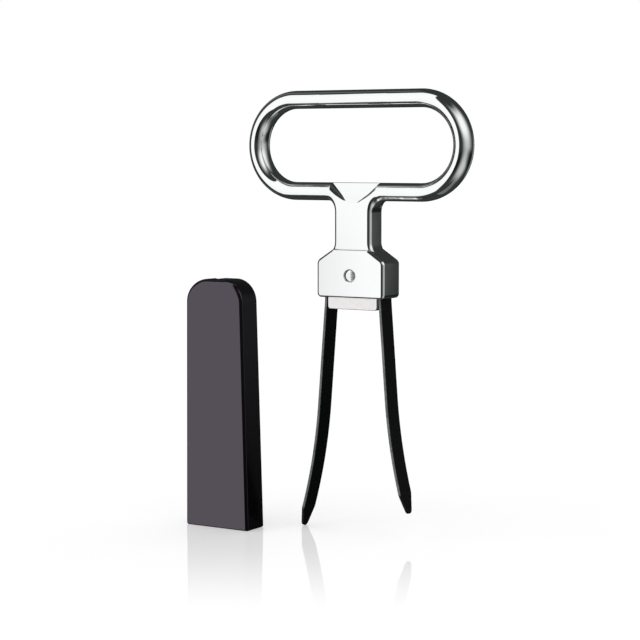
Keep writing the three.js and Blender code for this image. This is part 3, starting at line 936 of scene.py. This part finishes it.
# %% [markdown]
# ## Light
# Diffuse surfaces are lit plainly from all round, with one large soft lamp from the left front, so
# that a colour renders about as it is written. Chrome shows the room itself, so the room matters:
# a white window to the left of the camera fills the flat faces, a wide wall on the right rises
# softly and falls off again, and a few faint screens stand behind and below. The dark between
# them draws the lines along every rounded edge. The camera and a perfect mirror see plain white.

# %% Numbers of the room
# Spans are in degrees: of bearing, from the front round to the right, or of height. A light is
# none where its border's span starts and full where it ends. A second pair holds two levels.
WINDOW_LEFT, WINDOW_RIGHT, WINDOW_FOOT = (-62, -56), (-5.5, -10.5), (-54, -42)
WINDOW_WIDER = ((20, 40), (0, 8))  # away from the horizon its left border moves out
WINDOW_LIGHT = ((-44, -24), (0.95, 0.99))
WALL_LEFT, WALL_RIGHT, WALL_FOOT, WALL_TOP = (38, 100), (151, 104), (-66, -40), (68, 42)
WIDER_UP, WIDER_DOWN = ((2, 32), (0, 24)), ((-5, -40), (0, 12))  # its left border moves out
SLANT, SLANT_FOOT = ((0, -14), (0, 12)), (-32, -20)  # its right border moves in
WALL_LIGHT = ((-5, 0), (0.45, 0.53))
LIGHTER_UP, LIGHTER_DOWN = ((-1, 26), (0, 0.4)), ((-5, -35), (0, 0.08))
SCREENS = ((120, 150, 7, -5.8, 60, 3.5, 0.05),  # two bearings and how soft, two heights and
           (168, 190, 8, -20, 4, 6, 0.3),       # how soft, and brightness
           (-125, -104, 6, -30, 60, 10, 0.12),
           (95, 230, 10, -100, -58, 6, 0.12))
GROUND, DARK = ((-20, -35), (0, 0.024)), ((-12, -2), (0.008, 0.03))
GREEN_CAST, BLUE_CAST = 0.005, 0.003  # the dark of the room is a little green
PLAIN_LIGHT = (0.62, 0.62, 0.63, 1)


# %% Lights of the room
def window(net, bearing, height):
    """White, a little dimmer on its left."""
    wider = net.rise(net.math("ABSOLUTE", height), *WINDOW_WIDER)
    return net.math("MULTIPLY", net.rise(net.math("ADD", bearing, wider), WINDOW_LEFT),
                    net.rise(bearing, WINDOW_RIGHT), net.rise(height, WINDOW_FOOT),
                    net.spread(bearing, *WINDOW_LIGHT))


def wall(net, bearing, height):
    """A broad soft light, wider and lighter upwards and downwards."""
    wider = net.math("ADD", net.rise(height, *WIDER_UP), net.rise(height, *WIDER_DOWN))
    slant = net.math("MULTIPLY", net.rise(height, *SLANT), net.rise(height, SLANT_FOOT))
    light = net.math("ADD", net.spread(height, *WALL_LIGHT), net.rise(height, *LIGHTER_UP),
                     net.rise(height, *LIGHTER_DOWN))
    return net.math("MULTIPLY", net.rise(net.math("ADD", bearing, wider), WALL_LEFT),
                    net.rise(net.math("ADD", bearing, slant), WALL_RIGHT),
                    net.rise(height, WALL_FOOT), net.rise(height, WALL_TOP), light)


def screen(net, bearing, height, left, right, soft, low, high, soft_up, bright):
    """Brightness of a screen between two bearings and two heights, with soft borders."""
    return net.math("MULTIPLY", net.rise(bearing, (left - soft, left + soft)),
                    net.rise(bearing, (right + soft, right - soft)),
                    net.rise(height, (low - soft_up, low + soft_up)),
                    net.rise(height, (high + soft_up, high - soft_up)), bright)


# %% The room: all lights for glossy rays, a plain level for diffuse ones, white for the rest
world = bpy.data.worlds.new("studio")
bpy.context.scene.world = world
world.use_nodes = True
net = Network(world.node_tree)
x, y, z = net.split(net.add("ShaderNodeTexCoord").outputs["Generated"])
bearing = net.math("DEGREES", net.math("ARCTAN2", x, net.math("MULTIPLY", y, -1.0)))
height = net.math("DEGREES", net.math("ARCSINE", z))
lights = [window(net, bearing, height), wall(net, bearing, height)]
lights += [screen(net, bearing, height, *numbers) for numbers in SCREENS]
total = net.math("ADD", net.rise(height, *DARK), *lights, net.rise(height, *GROUND))
green, blue = net.math("ADD", total, GREEN_CAST), net.math("ADD", total, BLUE_CAST)
seen = net.add("ShaderNodeCombineColor", {0: total, 1: green, 2: blue}).outputs[0]
rays = net.add("ShaderNodeLightPath").outputs
plain = net.math("MAXIMUM", rays["Is Camera Ray"], rays["Is Transmission Ray"],
                 rays["Is Singular Ray"])
lit = net.blend(rays["Is Glossy Ray"], PLAIN_LIGHT, seen)
backdrop = net.add("ShaderNodeBackground", {"Color": net.blend(plain, lit, WHITE), "Strength": 1.0})
net.add("ShaderNodeOutputWorld", {"Surface": backdrop.outputs[0]})
print("room:", len(net.nodes), "nodes")


# %% The lamp
def lamp(name, towards, softness, strength):
    """A far lamp: the same light everywhere, its shadows as soft as the angle in degrees."""
    data = bpy.data.lights.new(name, "SUN")
    data.angle = math.radians(softness)
    data.energy = strength
    light = bpy.data.objects.new(name, data)
    bpy.context.scene.collection.objects.link(light)
    light.rotation_euler = Vector(towards).to_track_quat("-Z", "Y").to_euler()
    light.visible_glossy = False
    print("lamp", name, "shines towards", towards)


lamp("soft key", towards=(0.45, 0.65, -0.9), softness=50, strength=0.35)

# %% [markdown]
# ## Camera
# The photograph was taken with a long lens from the right of the front, slightly above the loop's
# middle. The numbers were worked out from the outlines of the faces that it shows.

# %% The photograph's camera
SENSOR, LENS = 36.0, 106.73  # millimetres
EYE, NEAR = (0.2785, -0.47464, 0.110853), 0.02  # metres: from the puller's axis, and nearest sight
LOOKS_DOWN = 5.035

camera = bpy.data.objects.new("camera", bpy.data.cameras.new("camera"))
bpy.context.scene.collection.objects.link(camera)
camera.data.sensor_width = SENSOR
camera.data.lens = LENS
camera.data.clip_start = NEAR
camera.location = Vector(puller_axis * MM) + Vector(EYE)
camera.rotation_euler = (math.radians(90 - LOOKS_DOWN), 0.0, VIEW)
bpy.context.scene.camera = camera
bpy.context.scene.view_settings.view_transform = "Standard"
print("camera at", [round(v, 4) for v in camera.location])
